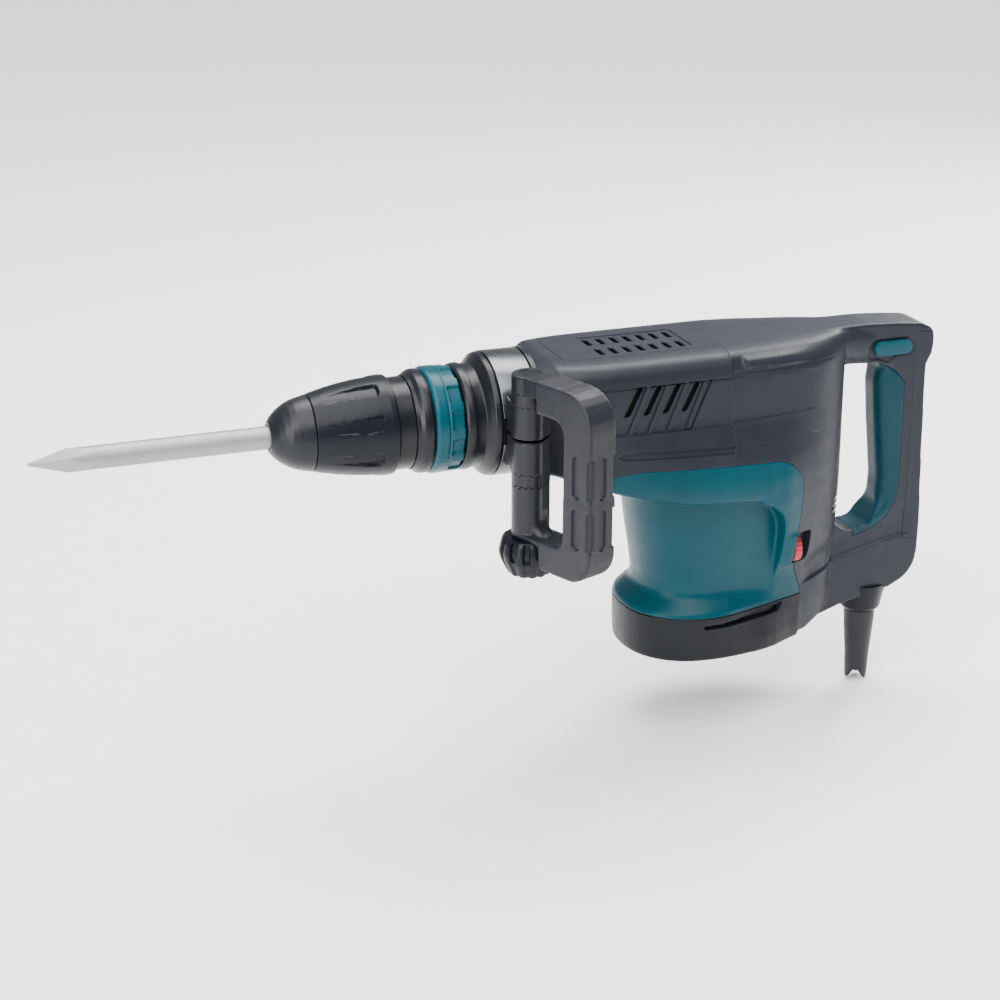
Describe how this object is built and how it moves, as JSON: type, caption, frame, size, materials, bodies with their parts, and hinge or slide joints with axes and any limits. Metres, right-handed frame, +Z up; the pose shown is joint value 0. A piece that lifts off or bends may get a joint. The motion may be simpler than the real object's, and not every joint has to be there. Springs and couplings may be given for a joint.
{
  "type": "electric jackhammer",
  "caption": "Electric demolition hammer with a motor hanging below the striking barrel, a D-shaped rear handle, a swivelling side handle loop, a sliding tool holder and a bull point chisel.",
  "frame": {"origin": "centre of the motor end cap's flat underside, 217 mm below the tool axis", "axes": "+X along the tool axis from the chisel back to the rear handle, -Y to the tool's left, where the side handle and the speed dial are, +Z up from the motor towards the vented top cover"},
  "size_m": [0.7512, 0.2205, 0.332],
  "materials": {
    "black_plastic": "soft sheen, glass-filled nylon",
    "teal_plastic": "soft sheen, glass-filled nylon",
    "black_rubber": "matt",
    "teal_rubber": "matt",
    "black_painted_metal": "gloss black",
    "steel": "ground",
    "blasted_steel": "bead blasted",
    "cast_aluminium": "as cast",
    "copper": "turned",
    "carbon": "matt",
    "red_plastic": "satin",
    "board_green": "lacquered",
    "lens": "clear"
  },
  "bodies": {
    "tool_body": {"barrel": "black_painted_metal", "cylinder_liner": "steel", "impact_bolt_guide": "steel", "gear_plate": "cast_aluminium", "crank_bearing_upper": "steel", "crank_bearing_lower": "steel", "top_cover": "black_plastic", "front_housing": "black_plastic", "motor_housing": "teal_plastic", "motor_end_cap": "black_plastic", "field_core": "blasted_steel", "armature_bearing_upper": "steel", "armature_bearing_lower": "steel", "carbon_brush_left": "carbon", "carbon_brush_right": "carbon", "brush_holder_left": "cast_aluminium", "brush_holder_right": "cast_aluminium", "rear_housing": "black_plastic", "handle_back_cover": "black_plastic", "grip_pad": "teal_rubber", "switch_body": "black_plastic", "control_board": "board_green", "power_lamp": "lens", "service_lamp": "lens", "cord_gland": "black_plastic", "cord_guard": "black_rubber"},
    "spindle": {"tool_holder": "steel", "tool_retainer_upper": "steel", "tool_retainer_lower": "steel", "dust_cap": "black_rubber", "holder_neck": "black_painted_metal", "release_spring": "steel"},
    "chisel": {"bull_point_chisel": "blasted_steel"},
    "release_sleeve": {"release_cover": "black_plastic", "release_ring": "steel"},
    "index_ring": {"change_ring": "teal_plastic", "change_ring_flange": "black_plastic"},
    "anvil": {"impact_bolt": "steel"},
    "ram": {"striker": "steel"},
    "driving_piston": {"piston": "cast_aluminium", "wrist_pin": "steel", "connecting_rod": "steel"},
    "crank": {"crankshaft": "steel", "crank_gear": "steel"},
    "rotor": {"armature": "steel", "commutator": "copper", "motor_pinion": "steel", "cooling_fan": "black_plastic"},
    "switch_slider": {"switch_lever": "teal_plastic"},
    "dial": {"speed_dial": "red_plastic"},
    "side_clamp": {"clamp_band": "steel", "clamp_upper_jaw": "black_plastic", "clamp_lower_jaw": "black_plastic", "ratchet_ring_upper": "black_plastic", "ratchet_ring_lower": "black_plastic"},
    "side_loop": {"side_handle": "black_rubber", "clamp_bolt": "steel"},
    "knob": {"clamp_knob": "black_plastic"}
  },
  "joints": [
    {"name": "spindle_turn", "type": "hinge", "parent": "tool_body", "child": "spindle", "pos_m": [-0.375, 0, 0.217], "axis": [1, 0, 0], "continuous": true},
    {"name": "chisel_slide", "type": "slide", "parent": "spindle", "child": "chisel", "axis": [1, 0, 0], "range_m": [-0.01, 0.004]},
    {"name": "release_sleeve_slide", "type": "slide", "parent": "spindle", "child": "release_sleeve", "axis": [1, 0, 0], "range_m": [0, 0.007], "stiffness_N_per_m": 2500, "springref_m": -0.004, "deforming": ["release_spring"]},
    {"name": "index_ring_slide", "type": "slide", "parent": "spindle", "child": "index_ring", "axis": [1, 0, 0], "range_m": [-0.005, 0]},
    {"name": "anvil_slide", "type": "slide", "parent": "tool_body", "child": "anvil", "axis": [1, 0, 0], "range_m": [0, 0.006]},
    {"name": "ram_slide", "type": "slide", "parent": "tool_body", "child": "ram", "axis": [1, 0, 0], "range_m": [-0.008, 0.01]},
    {"name": "piston_slide", "type": "slide", "parent": "tool_body", "child": "driving_piston", "axis": [1, 0, 0], "range_m": [0, 0.03]},
    {"name": "rotor_spin", "type": "hinge", "parent": "tool_body", "child": "rotor", "pos_m": [-0.012, 0, 0.1], "axis": [0, 0, 1], "continuous": true},
    {"name": "crank_spin", "type": "hinge", "parent": "tool_body", "child": "crank", "pos_m": [-0.0652, 0, 0.19], "axis": [0, 0, 1], "continuous": true},
    {"name": "switch_slide", "type": "slide", "parent": "tool_body", "child": "switch_slider", "axis": [0, 1, 0], "range_m": [0, 0.004]},
    {"name": "dial_turn", "type": "hinge", "parent": "tool_body", "child": "dial", "pos_m": [0.0532, -0.0455, 0.0855], "axis": [1, 0, 0], "range_deg": [-135, 135]},
    {"name": "clamp_turn", "type": "hinge", "parent": "tool_body", "child": "side_clamp", "pos_m": [-0.188, 0, 0.217], "axis": [1, 0, 0], "continuous": true},
    {"name": "loop_swing", "type": "hinge", "parent": "side_clamp", "child": "side_loop", "pos_m": [-0.188, -0.066, 0.217], "axis": [0, 0, 1], "range_deg": [-112.5, 22.5]},
    {"name": "knob_turn", "type": "hinge", "parent": "side_loop", "child": "knob", "pos_m": [-0.188, -0.066, 0.12], "axis": [0, 0, 1], "continuous": true}
  ],
  "couplings": [
    {"joint": "crank_spin", "follows": "rotor_spin", "ratio": -0.16667}
  ]
}
